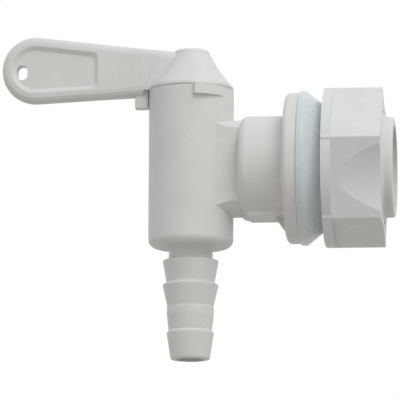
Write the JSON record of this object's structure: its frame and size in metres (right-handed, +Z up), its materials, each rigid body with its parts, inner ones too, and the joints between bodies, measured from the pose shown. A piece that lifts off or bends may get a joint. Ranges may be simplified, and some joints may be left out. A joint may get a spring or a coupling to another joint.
{
  "type": "bucket spigot",
  "caption": "Plastic quarter turn lever tap for a round hole in a bucket wall, held by a bevelled gasket and a scooped lock nut, with a stepped hose barb as its outlet.",
  "frame": {"origin": "centre of the flange's sealing face, on the axis of the threaded shank, where the tap is clamped to the bucket's wall", "axes": "+X along the shank towards its open end, into the bucket; +Z up, with the barb pointing down; the lever points along -X at rest, which is open"},
  "size_m": [0.088, 0.0352, 0.073],
  "materials": {
    "body_plastic": "warm white moulded polyethylene, fine matte grain",
    "lever_plastic": "warm white moulded polyethylene, smooth satin",
    "gasket_rubber": "pale bluish translucent soft vinyl, slightly glossy",
    "nut_plastic": "cool white moulded polypropylene, smooth satin"
  },
  "bodies": {
    "tap": {"tap_body": "body_plastic", "gasket": "gasket_rubber"},
    "lever": {"lever_plug": "lever_plastic"},
    "nut": {"lock_nut": "nut_plastic"}
  },
  "joints": [
    {"name": "lever_turn", "type": "hinge", "parent": "tap", "child": "lever", "pos_m": [-0.0244, 0, 0], "axis": [0, 0, 1], "range_deg": [0, 90]},
    {"name": "nut_travel", "type": "slide", "parent": "tap", "child": "nut", "axis": [1, 0, 0], "range_m": [0, 0.0155]}
  ]
}
